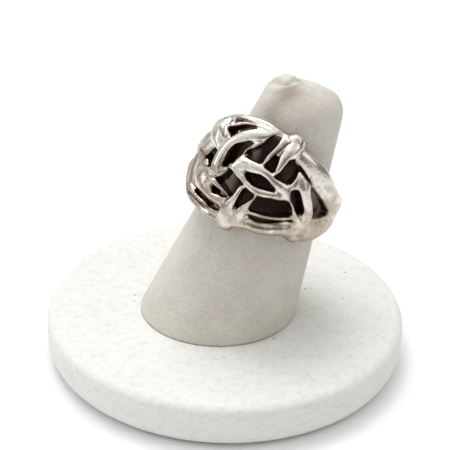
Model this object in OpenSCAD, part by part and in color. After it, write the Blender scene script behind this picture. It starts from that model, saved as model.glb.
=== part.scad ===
// Braided band ring on a leaning, leatherette covered ring stand.
// Millimetres, +Z up, origin at the middle of the stand's underside.

/* [Ring] */
// Diameter of the finger hole
bore_d = 18.2; // [16.4:0.1:19.2]
// Thickness of the plain band at the back
back_wall = 1.15; // [0.9:0.05:1.8]
// How much further out the weave stands at the front than the band at the back
dome_rise = 1.15; // [0.4:0.05:2]
// How far the two edges of the weave lie below its middle
edge_drop = 1.3; // [0.4:0.05:2]
// Height of the weave along the finger at the front
front_w = 14.2; // [12:0.1:16]
// Height of the plain band along the finger at the back
back_w = 3.2; // [2.4:0.1:5]
// Width of a full strand
strand_w = 1.5; // [1.1:0.05:1.9]
// How far a full crossing strand stands above the strands under it
strand_lift = 0.6; // [0.2:0.05:0.8]

/* [How the ring sits on the post] */
// Smallest clearance between the finger hole and the post
seat_gap = 0.45; // [0.1:0.05:0.5]
// How far the front of the ring is tipped up, in degrees
ring_tip = 15.5; // [10:0.5:18]
// Direction that the front of the ring faces, in degrees about the post
ring_turn = -130; // [-180:1:180]
// How far the ring is pushed to one side on the post
ring_side = -0.7; // [-1.2:0.1:1.2]

/* [Post] */
// Diameter at the foot
foot_d = 20.8; // [20.4:0.1:24]
// Diameter at the tip
tip_d = 11; // [9.6:0.1:12]
// Length along the post
post_l = 34.6; // [33:0.1:40]
// Radius round the edge of the tip
tip_round = 2.9; // [1:0.1:4]
// How far the post leans, in degrees
post_lean = 18.5; // [10:0.5:24]
// Direction of the lean, in degrees about the upright
lean_turn = 10; // [-60:1:60]
// Middle of the foot on the base, left and right
foot_x = -0.5; // [-4:0.1:4]
// Middle of the foot on the base, front and back
foot_y = -0.7; // [-4:0.1:4]

/* [Base] */
// Diameter of the covered disc
base_d = 50; // [44:0.5:60]
// Thickness of the covered disc
base_h = 5.95; // [4:0.05:9]
// How far the disc's underside is drawn in from its widest round
under_inset = 1.5; // [0.5:0.1:2.5]
// Radius round the upper edge of the disc
base_round = 1.2; // [0.6:0.1:2]
// Thickness of the backing sheet
backing_t = 0.4; // [0.3:0.05:1]
// How far the backing sheet stays inside the disc's underside
backing_inset = 0.5; // [0.2:0.1:2]

/* [Hidden] */

bore_r = bore_d / 2;
foot_r = foot_d / 2;
tip_r = tip_d / 2;
base_r = base_d / 2;
base_top = backing_t + base_h;

// The weave fades into the plain band at these angles from the front
weave_end = 84;
fade_end = 120;
far_fade_end = 74;
// How far the middle of the far shank lies toward the post's foot, as a share of front_w
far_sag = 0.09;
// How fast the height of the ring falls from front to back
taper = 1.7;
// How square the middle of the weave is before its edges turn down
edge_curve = 2.5;
// Depth of a strand's rounded top, as a share of its width, and how square that top is
crown_share = 0.35;
crown_square = 0.8;
// How far the sheet that joins the strands lies below their middle form
sheet_drop = 0.3;
// How much narrower the ring is where the weave ends than its full outline there
waist = 0.45;
// How far strands run into the finger hole before it is cut
inside_spare = 0.35;
// Keeps the facets of the finger hole off the sections of the band
facet_turn = 1.3;
// Sections between two rows of a strand's table
rows_between = 2;
// Points over a strand's rounded top
crown_points = 6;

// Columns of every strand's table
angle_col = 0;
across_col = 1;
width_col = 2;
lift_col = 3;

// Each row is a place on a strand: degrees round the ring from the front, share of the
// half height toward the post's tip, share of strand_w, and share of strand_lift.
rim_top = [[-36, 0.74, 0.5, -0.5], [-33, 0.79, 0.7, 0], [-29, 0.85, 0.6, 0.1], [-20, 0.92, 0.55, 0.2],
    [-10, 0.95, 0.55, 0.2], [0, 0.97, 0.55, 0.2], [10, 0.95, 0.6, 0.1], [18, 0.94, 0.8, 0], [25, 0.92, 0.6, -0.5]];
rim_top_rib = [[-29, 0.68, 0.4, 0.2], [-23, 0.71, 0.35, 0.4], [-17, 0.8, 0.3, 0.5], [-11, 0.86, 0.3, 0.5],
    [-4, 0.895, 0.3, 0.5], [5, 0.91, 0.3, 0.3], [11, 0.93, 0.3, 0]];
arch = [[-12.5, -0.27, 0.5, -0.4], [-14.5, -0.2, 1, 0.6], [-16.5, -0.11, 1.1, 1], [-17, 0.02, 1.05, 1.1],
    [-17, 0.14, 1, 1.1], [-16.5, 0.25, 1, 1.1], [-15.5, 0.35, 0.95, 1.1], [-13, 0.47, 1, 1.1], [-9.5, 0.58, 1.15, 1],
    [-4, 0.69, 1.25, 0.9], [1, 0.75, 1.2, 0.7], [6, 0.83, 0.9, 0.3], [10, 0.91, 0.6, 0], [13, 0.95, 0.3, -0.6]];
arch_rib = [[-4.5, 0.24, 0.3, 0.3], [-3, 0.35, 0.25, 0.5], [-1.2, 0.46, 0.25, 0.5], [1, 0.55, 0.4, 0.4],
    [3, 0.64, 0.6, 0.2], [4.5, 0.72, 0.4, -0.4]];
leaf_top = [[-10, 0.01, 0.4, -0.3], [-7, 0.04, 0.9, 0.6], [-3.5, 0.08, 1.3, 1], [0, 0.15, 1.6, 1.1],
    [5, 0.205, 1.2, 1.1], [11, 0.235, 0.95, 1.1], [16, 0.23, 0.85, 1.1], [21, 0.19, 0.9, 1], [25, 0.155, 0.95, 1],
    [30, 0.12, 1.2, 0.9], [34, 0.07, 1.4, 0.7], [37.5, 0.03, 1.2, 0.4], [40, 0.01, 0.6, -0.2]];
leaf_low = [[-3, 0.02, 0.8, 0.8], [1, -0.01, 1, 0.9], [4, -0.04, 0.7, 0.9], [7, -0.08, 0.55, 0.9],
    [12, -0.125, 0.65, 0.9], [17, -0.135, 0.75, 0.9], [21, -0.115, 0.8, 0.9], [25, -0.08, 0.8, 0.9],
    [29, -0.04, 1, 0.8], [34, 0.02, 0.9, 0.5], [38, 0.02, 0.6, 0]];
knot = [[-32, 0.82, 0.6, -0.2], [-32.5, 0.74, 1.3, 0.6], [-32.5, 0.65, 1.8, 1.1], [-31.5, 0.55, 2, 1.3],
    [-29.5, 0.45, 1.9, 1.3], [-27, 0.36, 1.5, 1.1], [-24, 0.28, 1.1, 0.7], [-21, 0.2, 0.8, 0.3],
    [-18, 0.13, 0.5, -0.3]];
knot_face = [[-26, 0.7, 0.4, 0.6], [-24.5, 0.62, 0.8, 1], [-22.5, 0.53, 1, 0.95], [-20.5, 0.44, 0.8, 0.7],
    [-18.5, 0.36, 0.4, 0]];
knot_rib = [[-27, 0.8, 0.4, 0], [-24, 0.74, 0.5, 0.5], [-21, 0.66, 0.4, 0.7], [-18.5, 0.57, 0.4, 0.7],
    [-17, 0.48, 0.4, 0.5], [-15.5, 0.38, 0.3, -0.4]];
side = [[-30, 0.42, 0.8, 0], [-33, 0.32, 1.2, 0.35], [-35.8, 0.21, 1.4, 0.45], [-38.3, 0.08, 1.5, 0.5],
    [-40.6, -0.07, 1.6, 0.5], [-41.5, -0.24, 1.8, 0.5], [-41, -0.42, 2, 0.45], [-39, -0.58, 1.9, 0.35],
    [-35.5, -0.72, 1.5, 0.1]];
curl = [[-31, -0.22, 0.5, -0.1], [-29.5, -0.29, 1.3, 0.6], [-27, -0.36, 1.8, 1], [-24, -0.42, 2, 1.15],
    [-20.5, -0.475, 2, 1.15], [-17, -0.52, 1.7, 1.05], [-13.5, -0.565, 1.3, 0.95], [-9, -0.6, 1, 0.8],
    [-4, -0.6, 0.9, 0.6], [1, -0.6, 1, 0.3]];
curl_top = [[-24, -0.27, 0.8, 0.8], [-20.5, -0.25, 1, 1], [-17, -0.28, 1, 1.05], [-13.5, -0.325, 0.8, 1],
    [-10, -0.36, 0.55, 0.9], [-5, -0.395, 0.35, 0.65], [0, -0.43, 0.3, 0.4], [3, -0.47, 0.3, 0]];
rim_low_rib = [[-43, -0.72, 0.4, 0.1], [-34, -0.79, 0.35, 0.4], [-25, -0.81, 0.3, 0.5], [-16, -0.81, 0.3, 0.5],
    [-9, -0.84, 0.3, 0.4], [-2, -0.83, 0.4, 0.2]];
rim_low_left = [[-56, -0.62, 0.6, -0.5], [-52, -0.72, 0.9, 0], [-47, -0.84, 0.8, 0], [-40, -0.94, 0.7, 0],
    [-30, -0.96, 0.65, 0.1], [-18, -0.95, 0.65, 0.1], [-8, -0.93, 0.7, 0.1], [2, -0.91, 0.8, 0.1],
    [8, -0.9, 0.6, -0.4]];
stem = [[7.5, -0.1, 0.4, 0.2], [7, -0.17, 0.5, 0.4], [6, -0.25, 0.5, 0.7], [5.6, -0.34, 0.5, 0.9],
    [5.2, -0.43, 0.6, 1], [4.2, -0.53, 0.8, 1], [3.2, -0.65, 1.1, 1], [3.5, -0.77, 1.4, 0.9], [5.5, -0.88, 1.5, 0.7],
    [8, -0.98, 1, 0.2]];
stem_rib = [[18.5, -0.1, 0.3, 0.2], [17.5, -0.17, 0.3, 0.5], [16.4, -0.28, 0.3, 0.6], [15, -0.39, 0.5, 0.6],
    [13.5, -0.5, 0.8, 0.5], [12.5, -0.61, 1.1, 0.4], [11, -0.74, 1.2, 0.3], [9, -0.88, 1.1, 0.1]];
loop_body = [[25, 1.04, 0.8, 0.3], [25, 1, 1.15, 0.9], [25.2, 0.93, 1.3, 1.2], [24.8, 0.84, 1.3, 1.3],
    [23.8, 0.74, 1.25, 1.25], [22.9, 0.64, 1.1, 1.15], [22.3, 0.54, 0.9, 1], [22, 0.44, 0.7, 0.9],
    [21.7, 0.34, 0.55, 0.7], [21, 0.26, 0.5, 0.4], [20, 0.16, 0.4, 0]];
loop_rib = [[20, 1.02, 0.5, 0.1], [18, 0.96, 0.6, 0.7], [16.3, 0.87, 0.5, 0.9], [15.4, 0.76, 0.47, 1],
    [14.6, 0.66, 0.45, 1], [13.7, 0.57, 0.42, 1], [12.8, 0.48, 0.35, 0.9], [12.1, 0.38, 0.3, 0.8],
    [11.5, 0.29, 0.4, 0.5], [11, 0.2, 0.4, 0]];
loop_web = [[17, 0.6, 0.6, 0.1], [18, 0.7, 1, 0.3], [19.5, 0.8, 1.2, 0.5], [21, 0.9, 1.3, 0.6], [22.5, 0.98, 1, 0.4]];
rim_low = [[-2, -0.9, 0.7, -0.4], [4, -0.88, 0.9, 0.1], [14, -0.82, 0.9, 0.1], [20, -0.755, 0.85, 0],
    [26, -0.755, 0.8, 0], [33, -0.74, 0.9, 0], [39, -0.71, 1.1, 0], [45, -0.67, 1.3, 0.1], [51, -0.68, 1.4, 0.2],
    [57, -0.75, 1.3, 0.2], [63, -0.8, 0.8, -0.4]];
sill = [[12, -0.58, 0.4, -0.6], [16, -0.56, 0.3, 0.1], [20, -0.545, 0.2, 0.2], [26, -0.53, 0.18, 0.2],
    [32, -0.5, 0.18, 0.2], [37, -0.46, 0.18, 0.2], [42, -0.405, 0.2, 0.2], [46, -0.36, 0.3, 0.1],
    [50, -0.34, 0.4, -0.6]];
bow = [[36, 0.58, 0.2, 0.4], [37.5, 0.52, 0.6, 0.8], [39, 0.46, 1, 1], [41, 0.39, 1.2, 1.2], [43, 0.31, 1.2, 1.3],
    [45.5, 0.21, 1.05, 1.3], [48.5, 0.1, 1, 1.3], [51.5, -0.03, 1, 1.3], [54, -0.16, 1.1, 1.2],
    [55.3, -0.29, 1.2, 1.1], [55.8, -0.43, 1.3, 1], [56.5, -0.58, 1.3, 0.9], [57.5, -0.74, 1.3, 0.8],
    [58.5, -0.88, 1.1, 0.3]];
bow_face = [[35.3, 0.58, 0.3, 0.5], [36, 0.48, 0.9, 0.9], [36.3, 0.38, 1.3, 0.95], [36.5, 0.28, 1.6, 0.9],
    [36.5, 0.18, 1.3, 0.7], [36.5, 0.08, 0.9, 0.4]];
bow_rib = [[35, 0.07, 0.3, 0.1], [37.5, 0.02, 0.4, 0.6], [39.8, -0.085, 0.35, 0.7], [42, -0.16, 0.35, 0.7],
    [44.5, -0.245, 0.45, 0.7], [47, -0.33, 0.7, 0.6], [50.5, -0.44, 0.9, 0.5], [53, -0.58, 1, 0.4],
    [55, -0.72, 0.8, -0.2]];
arm_top = [[20, 0.82, 0.6, -0.8], [26, 0.82, 1, -0.3], [32, 0.82, 1.2, 0], [40, 0.79, 1.5, 0.1],
    [50, 0.725, 1.9, 0.1], [60, 0.62, 2, 0.1], [70, 0.49, 1.9, 0.1], [80, 0.36, 1.8, 0], [92, 0.27, 1.7, 0],
    [106, 0.22, 1.5, -0.4]];
arm_low = [[52, -0.66, 1.2, -0.6], [58, -0.63, 1.9, 0], [65, -0.61, 2.3, 0.1], [70, -0.6, 2.3, 0.2],
    [76, -0.54, 2.2, 0.3], [83, -0.47, 2, 0.25], [93, -0.37, 1.8, 0.1], [107, -0.24, 1.5, -0.4]];
far_arm_top = [[-28, 0.8, 0.5, -0.6], [-34, 0.6, 1, -0.3], [-41, 0.4, 1.3, -0.3], [-49, 0.24, 1.4, -0.2],
    [-57, 0.2, 1.4, -0.1], [-66, 0.22, 1.4, 0], [-76, 0.25, 1.5, 0], [-90, 0.28, 1.6, 0], [-106, 0.22, 1.5, -0.4]];
far_arm_low = [[-38, -0.92, 0.6, -0.6], [-44, -0.84, 0.9, -0.1], [-50, -0.66, 1.3, 0], [-58, -0.42, 1.5, 0],
    [-67, -0.32, 1.5, 0], [-77, -0.3, 1.5, 0], [-90, -0.28, 1.6, 0], [-106, -0.22, 1.5, -0.4]];
strands = [rim_top, rim_top_rib, arch, arch_rib, leaf_top, leaf_low, knot, knot_face, knot_rib, side, curl,
    curl_top, rim_low_rib, rim_low_left, stem, stem_rib, loop_body, loop_rib, loop_web, rim_low, sill, bow,
    bow_face, bow_rib, arm_top, arm_low, far_arm_top, far_arm_low];

// Rounded ends that strands run into, in the same columns
knobs = [[-14.7, -0.17, 1.15, 0.75], [5, -0.9, 1.45, 0.6], [57, -0.8, 1.4, 0.6], [25, 0.97, 1.5, 0.9],
    [-31, 0.62, 1.9, 0.9], [1, -0.54, 0.8, 0.2], [36, 0.04, 1.2, 0.4]];

// Outlines of the openings that go right through, as degrees from the front and share across
under_rim = [[-17, 0.50], [-23, 0.62], [-23, 0.66], [-17, 0.76], [-11, 0.82], [-5, 0.865], [-6, 0.82],
    [-12, 0.71], [-15, 0.57]];
beside_knot = [[-36, -0.13], [-31, 0.06], [-28, 0.17], [-22, 0.17], [-21, 0.02], [-20.5, -0.16], [-24, -0.20],
    [-30, -0.09]];
in_arch = [[-13, -0.05], [-13.2, 0.16], [-12.5, 0.31], [-10.5, 0.43], [-6, 0.53], [-1.5, 0.58], [-1.5, 0.50],
    [-3.4, 0.37], [-5.5, 0.20], [-7, 0.10]];
above_leaf = [[-2, 0.40], [2, 0.53], [5.5, 0.68], [7.5, 0.83], [10, 0.89], [14, 0.90], [14, 0.76], [12.2, 0.60],
    [11.1, 0.46], [10.5, 0.35], [6, 0.33], [1, 0.34]];
in_loop = [[13, 0.34], [15, 0.46], [18.7, 0.58], [19.7, 0.46], [20, 0.32], [16, 0.31]];
right_of_loop = [[25.6, 0.65], [29, 0.70], [34.2, 0.61], [34.2, 0.43], [32.7, 0.26], [27, 0.245], [22, 0.25],
    [24.2, 0.41]];
along_arm = [[31, 0.70], [36.5, 0.65], [42, 0.58], [46.5, 0.52], [42.5, 0.52], [37, 0.585]];
in_leaf = [[4, 0.08], [8.5, 0.08], [13, 0.145], [18, 0.14], [22, 0.09], [26, 0.01], [19.5, -0.03], [13, -0.055],
    [7.5, -0.02]];
left_of_leaf = [[-8, -0.03], [-4, -0.02], [1, -0.075], [6, -0.135], [4.2, -0.26], [2, -0.45], [-4, -0.38],
    [-14, -0.305], [-10, -0.19]];
in_curl = [[-13, -0.44], [-5, -0.435], [-1, -0.455], [-5.5, -0.50], [-11, -0.54]];
under_curl = [[-30.5, -0.62], [-19, -0.665], [-10, -0.70], [-3, -0.72], [-3.5, -0.78], [-10, -0.79], [-17, -0.735],
    [-27.5, -0.76]];
in_stem = [[8, -0.20], [12.5, -0.20], [15.7, -0.25], [13, -0.40], [7.5, -0.60], [7.4, -0.40]];
under_leaf = [[18, -0.22], [24, -0.175], [30, -0.13], [37, -0.085], [41.5, -0.17], [43.7, -0.34], [37, -0.435],
    [27, -0.50], [17, -0.52], [16.8, -0.34]];
under_sill = [[18, -0.59], [27, -0.555], [36, -0.495], [45.5, -0.405], [48, -0.46], [38, -0.555], [30, -0.645],
    [20.5, -0.65]];
in_bow = [[35.8, 0.17], [38.8, 0.23], [42, 0.17], [46.5, 0.00], [49.7, -0.16], [48.3, -0.235], [43, -0.13],
    [38, 0.02]];
in_fork = [[48.4, 0.415], [47.8, 0.34], [52, 0.18], [56.3, -0.03], [59.3, -0.235], [67, -0.21], [77, -0.06],
    [77, 0.06], [69, 0.20], [58, 0.35], [52, 0.415]];
openings = [under_rim, beside_knot, in_arch, above_leaf, in_loop, right_of_loop, along_arm, in_leaf, left_of_leaf,
    in_curl, under_curl, in_stem, under_leaf, under_sill, in_bow, in_fork];

// Upper and lower edges of the sheet that lies under the strands, as degrees and share across
sheet_top = [[-96, 0.55], [-76, 0.42], [-60, 0.34], [-50, 0.36], [-42, 0.48], [-36, 0.64], [-27, 0.88], [-10, 0.94],
    [10, 0.94], [25, 0.98], [40, 0.93], [57, 0.9], [70, 0.8], [96, 0.74]];
sheet_low = [[-96, 0.6], [-76, 0.52], [-60, 0.62], [-50, 0.8], [-44, 0.92], [-31, 0.98], [0, 0.94], [10, 0.94],
    [17, 0.84], [25, 0.79], [50, 0.79], [63, 0.9], [76, 0.82], [96, 0.74]];

// Height of half the ring along the finger at an angle from the front
function half_height(angle) =
    (back_w + (front_w - back_w) * pow((1 + cos(angle)) / 2, taper)) / 2;

// How much of the dome is left at an angle from the front
function fade(angle) =
    let (end = angle > 0 ? fade_end : far_fade_end)
    abs(angle) < end ? cos(90 * angle / end) : 0;

// Share that rises smoothly from nothing at one value to all at another
function between(low, high, value) =
    let (share = min(1, max(0, (value - low) / (high - low))))
    share * share * (3 - 2 * share);

// How far the ring's middle line is drawn down at an angle from the front
function sag(angle) =
    far_sag * front_w * between(-48, -66, angle) * (1 - between(-95, -135, angle));

// Radius of the weave's outer form
function form_r(angle, across) =
    bore_r + back_wall + fade(angle) * (dome_rise - edge_drop * pow(abs(across), edge_curve));

// Place at an angle from the front, a share across and a distance from the finger hole's axis
function at(angle, across, r) =
    [r * cos(angle), r * sin(angle), across * half_height(angle) - sag(angle)];

// Point on the crown of a strand
function crown_point(row) =
    let (r = form_r(row[angle_col], row[across_col]) + row[lift_col] * strand_lift)
    at(row[angle_col], row[across_col], r);

// Smooth curve through four neighbouring rows
function blend(a, b, c, d, f) =
    ((2 * b) + (c - a) * f + (2 * a - 5 * b + 4 * c - d) * f * f + (3 * b - a - 3 * c + d) * f * f * f) / 2;

function row_at(rows, i) = rows[max(0, min(len(rows) - 1, i))];

function stations(rows) = concat(
    [for (i = [0 : len(rows) - 2], j = [0 : rows_between - 1])
        blend(row_at(rows, i - 1), rows[i], rows[i + 1], row_at(rows, i + 2), j / rows_between)],
    [rows[len(rows) - 1]]);

// Section of a strand: a rounded top over straight sides that reach past the finger hole
function section(row, along) =
    let (
        radial = [cos(row[angle_col]), sin(row[angle_col]), 0],
        raw = cross(along, radial),
        across = raw / norm(raw),
        middle = crown_point(row),
        half = max(0.02, row[width_col] * strand_w / 2),
        crown = 2 * half * crown_share,
        depth = norm([middle[0], middle[1]]) - bore_r + inside_spare)
    concat(
        [for (k = [0 : crown_points - 1])
            let (a = 180 * k / (crown_points - 1), side = sign(cos(a)) * pow(abs(cos(a)), crown_square))
            middle - across * half * side - radial * min(crown, depth / 2) * (1 - pow(sin(a), crown_square))],
        [middle + across * half - radial * depth, middle - across * half - radial * depth]);

// Solid swept through sections that all have the same number of points
module skin(sections) {
    n = len(sections[0]);
    last = len(sections) - 1;
    sides = [for (i = [0 : last - 1], j = [0 : n - 1], half = [0, 1])
        let (j2 = (j + 1) % n)
        half == 0 ? [i * n + j, (i + 1) * n + j2, i * n + j2] : [i * n + j, (i + 1) * n + j, (i + 1) * n + j2]];
    start = [for (j = [1 : n - 2]) [0, j, j + 1]];
    finish = [for (j = [1 : n - 2]) [last * n, last * n + j + 1, last * n + j]];
    polyhedron([for (s = sections) each s], concat(sides, start, finish), convexity = 6);
}

module strand(rows) {
    line = stations(rows);
    crowns = [for (row = line) crown_point(row)];
    last = len(line) - 1;
    skin([for (i = [0 : last]) section(line[i], crowns[min(last, i + 1)] - crowns[max(0, i - 1)])]);
}

// Rounded end: two balls, one at the crown and one sunk toward the finger hole
module knob(row) {
    r = row[width_col] * strand_w / 2;
    top = crown_point(row);
    radial = [cos(row[angle_col]), sin(row[angle_col]), 0];
    hull() {
        translate(top - radial * r) sphere(r, $fn = 12);
        translate(top - radial * (norm([top[0], top[1]]) - bore_r)) sphere(r, $fn = 12);
    }
}

// Thin sheet under the strands, so that they are joined wherever there is no opening
module sheet() {
    skin([for (angle = [-96 : 8 : 96])
        let (low = -lookup(angle, sheet_low), high = lookup(angle, sheet_top))
        concat(
            [for (k = [0 : 4]) let (u = high + (low - high) * k / 4)
                at(angle, u, form_r(angle, u) - sheet_drop * (k == 0 || k == 4 ? 2 : 1))],
            [for (u = [low, high]) at(angle, u, bore_r - inside_spare)])]);
}

// Plain band round the back, between the two ends of the weave
module plain_band() {
    share = [1, 0.92, 0.6, 0, -0.6, -0.92, -1];
    depth = [0.55, 0.2, 0.05, 0, 0.05, 0.2, 0.55];
    skin([for (angle = [weave_end : 6 : 360 - weave_end])
        let (
            turned = angle > 180 ? angle - 360 : angle,
            narrow = 1 - waist * fade(turned),
            r = bore_r + back_wall + fade(turned) * dome_rise / 2)
        concat(
            [for (k = [0 : 6]) at(turned, share[k] * narrow, r - depth[k] * back_wall)],
            [for (u = [-narrow, narrow]) at(turned, u, bore_r - inside_spare)])]);
}

// Radial cutter on a smoothed outline, from inside the finger hole to beyond the strands
module opening(outline) {
    n = len(outline);
    smooth = [for (i = [0 : n - 1], f = [0])
        blend(outline[(i + n - 1) % n], outline[i], outline[(i + 1) % n], outline[(i + 2) % n], f)];
    count = len(smooth);
    swept = [for (i = [0 : count - 1]) cross(smooth[i], smooth[(i + 1) % count])] * [for (q = smooth) 1];
    line = [for (i = [0 : count - 1]) smooth[swept < 0 ? i : count - 1 - i]];
    middle = [for (c = [0, 1]) [for (q = line) q[c]] * [for (q = line) 1] / count];
    out = form_r(0, 0) + 3 * strand_lift;
    points = concat(
        [for (q = line) at(q[0], q[1], bore_r - 2)], [for (q = line) at(q[0], q[1], out)],
        [at(middle[0], middle[1], bore_r - 2), at(middle[0], middle[1], out)]);
    sides = [for (i = [0 : count - 1]) let (j = (i + 1) % count)
        each [[i, j, count + j], [i, count + j, count + i], [2 * count, j, i],
            [2 * count + 1, count + i, count + j]]];
    polyhedron(points, sides, convexity = 6);
}

module ring_solid() {
    difference() {
        union() {
            for (rows = strands) strand(rows);
            for (row = knobs) knob(row);
            sheet();
            plain_band();
        }
        for (outline = openings) opening(outline);
        rotate([0, 0, facet_turn]) cylinder(h = 2 * front_w, r = bore_r, center = true, $fn = 60);
    }
}

// The finger hole touches the post at the top of the front and the bottom of the back,
// so the ring's place follows from both clearances.
post_slope = (foot_r - tip_r) / post_l;
half_front = front_w / 2;
half_back = back_w / 2;
seat_up = (2 * seat_gap + 2 * foot_r - bore_d * cos(ring_tip) + (half_front + half_back) * sin(ring_tip))
    / (2 * post_slope) - (half_front - half_back) * cos(ring_tip) / 2;
seat_out = ((half_front - half_back) * sin(ring_tip)
    - post_slope * (bore_d * sin(ring_tip) + (half_front + half_back) * cos(ring_tip))) / 2;

module on_post() {
    translate([foot_x, foot_y, base_top]) rotate([0, post_lean, lean_turn]) children();
}

module ring() {
    color("silver")
    on_post()
    rotate([0, 0, ring_turn])
    translate([seat_out, ring_side, seat_up])
    rotate([0, -ring_tip, 0])
    ring_solid();
}

module post() {
    buried = foot_r * tan(post_lean) + 1;
    low_r = foot_r + post_slope * buried;
    corner = [for (a = [0 : 15 : 90])
        [tip_r - tip_round + tip_round * cos(a), post_l - tip_round + tip_round * sin(a)]];
    color("gainsboro")
    intersection() {
        on_post() rotate_extrude($fn = 96) polygon(concat([[0, -buried], [low_r, -buried]], corner, [[0, post_l]]));
        translate([foot_x, foot_y, base_top]) cylinder(h = 2 * post_l, r = 2 * post_l, $fn = 64);
    }
}

module base_disc() {
    belly = 0.4 * base_h;
    side = concat(
        [for (a = [0 : 22.5 : 90]) [base_r - under_inset * (1 - sin(a)), backing_t + belly * (1 - cos(a))]],
        [for (a = [0 : 22.5 : 90])
            [base_r - base_round + base_round * cos(a), base_top - base_round + base_round * sin(a)]]);
    color("whitesmoke")
    rotate_extrude($fn = 128) polygon(concat([[0, backing_t]], side, [[0, base_top]]));
}

module base_backing() {
    color("rosybrown")
    cylinder(h = backing_t, r = base_r - under_inset - backing_inset, $fn = 128);
}

ring();
post();
base_disc();
base_backing();
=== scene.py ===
# Silver ring of interlaced strands on a leaning ring stand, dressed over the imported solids
import math

import bmesh
import bpy
from mathutils import Matrix, Vector
from mathutils.bvhtree import BVHTree
from mathutils.kdtree import KDTree


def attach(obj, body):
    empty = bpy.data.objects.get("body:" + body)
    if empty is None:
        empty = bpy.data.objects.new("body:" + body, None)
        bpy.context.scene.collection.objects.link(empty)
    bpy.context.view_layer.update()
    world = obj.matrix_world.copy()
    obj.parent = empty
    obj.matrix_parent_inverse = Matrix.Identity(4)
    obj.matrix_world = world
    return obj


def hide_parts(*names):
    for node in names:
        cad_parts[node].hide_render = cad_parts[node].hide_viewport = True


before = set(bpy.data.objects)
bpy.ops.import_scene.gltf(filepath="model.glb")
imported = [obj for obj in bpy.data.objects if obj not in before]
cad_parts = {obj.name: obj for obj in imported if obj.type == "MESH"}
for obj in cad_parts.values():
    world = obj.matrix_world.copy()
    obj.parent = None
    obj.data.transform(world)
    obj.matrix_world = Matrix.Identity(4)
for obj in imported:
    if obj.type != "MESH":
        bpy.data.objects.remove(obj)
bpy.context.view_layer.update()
scene = bpy.context.scene
mm = 0.001  # the pieces are modelled in millimetres and brought to metres when they are finished

# What both the ring and the stand need to know about the post
post = {
    "footRadius": 10.4, "tipRadius": 5.5, "length": 34.6, "tipEdge": 2.9, "buried": 4.48,
    "lean": 18.5, "leanTurn": 10.0, "foot": (-0.5, -0.7), "standsAt": 6.35,
}
onPost = (
    Matrix.Translation((post["foot"][0], post["foot"][1], post["standsAt"]))
    @ Matrix.Rotation(math.radians(post["leanTurn"]), 4, "Z")
    @ Matrix.Rotation(math.radians(post["lean"]), 4, "Y")
)


# Small helpers for every piece
def smoothBetween(low, high, value):
    share = min(1.0, max(0.0, (value - low) / (high - low)))
    return share * share * (3 - 2 * share)


def distanceTo(x, y, line):
    # Shortest way from a place to a bent line
    best = math.inf
    for (x1, y1), (x2, y2) in zip(line, line[1:]):
        dx, dy = x2 - x1, y2 - y1
        share = min(1.0, max(0.0, ((x - x1) * dx + (y - y1) * dy) / (dx * dx + dy * dy)))
        best = min(best, math.hypot(x - x1 - share * dx, y - y1 - share * dy))
    return best


def newObject(name, bm):
    mesh = bpy.data.meshes.new(name)
    bm.to_mesh(mesh)
    bm.free()
    piece = bpy.data.objects.new(name, mesh)
    scene.collection.objects.link(piece)
    return piece


def addModifier(piece, kind, **settings):
    modifier = piece.modifiers.new(kind.lower(), kind)
    for key, value in settings.items():
        setattr(modifier, key, value)
    return modifier


def applyModifiers(piece):
    graph = bpy.context.evaluated_depsgraph_get()
    made = bpy.data.meshes.new_from_object(piece.evaluated_get(graph))
    piece.modifiers.clear()
    old = piece.data
    piece.data = made
    bpy.data.meshes.remove(old)


def finishSurface(piece, material, smooth=True):
    # One material on every face, whatever the modifiers left there
    piece.data.materials.clear()
    piece.data.materials.append(material)
    for face in piece.data.polygons:
        face.use_smooth = smooth
        face.material_index = 0


def writeMark(piece, name, values):
    # Keeps a number for each vertex, which a material reads by its name
    piece.data.attributes.new(name, "FLOAT", "POINT").data.foreach_set("value", values)


def curveThrough(rows, between):
    # Catmull-Rom curve through rows of numbers, with the ends kept
    def row(i):
        return rows[max(0, min(len(rows) - 1, i))]

    made = []
    for i in range(len(rows) - 1):
        for j in range(between):
            f = j / between
            a, b, c, d = row(i - 1), row(i), row(i + 1), row(i + 2)
            made.append([
                (2 * q + (r - p) * f + (2 * p - 5 * q + 4 * r - s) * f * f
                 + (3 * q - p - 3 * r + s) * f ** 3) / 2
                for p, q, r, s in zip(a, b, c, d)
            ])
    made.append(list(rows[-1]))
    return made


# Shader helpers
def newMaterial(name):
    material = bpy.data.materials.new(name)
    material.use_nodes = True
    tree = material.node_tree
    tree.nodes.clear()
    out = tree.nodes.new("ShaderNodeOutputMaterial")
    shader = tree.nodes.new("ShaderNodeBsdfPrincipled")
    tree.links.new(shader.outputs["BSDF"], out.inputs["Surface"])
    return material, tree, shader


def addNode(tree, kind, values=None, **settings):
    node = tree.nodes.new("ShaderNode" + kind)
    for key, value in settings.items():
        setattr(node, key, value)
    for key, value in (values or {}).items():
        node.inputs[key].default_value = value
    return node


def ramp(tree, source, stops):
    node = tree.nodes.new("ShaderNodeValToRGB")
    node.color_ramp.interpolation = "EASE"
    points = node.color_ramp.elements
    while len(points) < len(stops):
        points.new(0.5)
    for point, (place, colour) in zip(points, stops):
        point.position = place
        point.color = (*colour, 1) if len(colour) == 3 else (colour[0],) * 3 + (1,)
    tree.links.new(source, node.inputs["Fac"])
    return node.outputs["Color"]


def mixColour(tree, share, first, second, blend="MIX"):
    node = tree.nodes.new("ShaderNodeMix")
    node.data_type = "RGBA"
    node.blend_type = blend
    for socket, value in ((0, share), (6, first), (7, second)):
        if hasattr(value, "is_output"):
            tree.links.new(value, node.inputs[socket])
        else:
            node.inputs[socket].default_value = value if socket == 0 else (*value, 1)
    return node.outputs[2]


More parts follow.
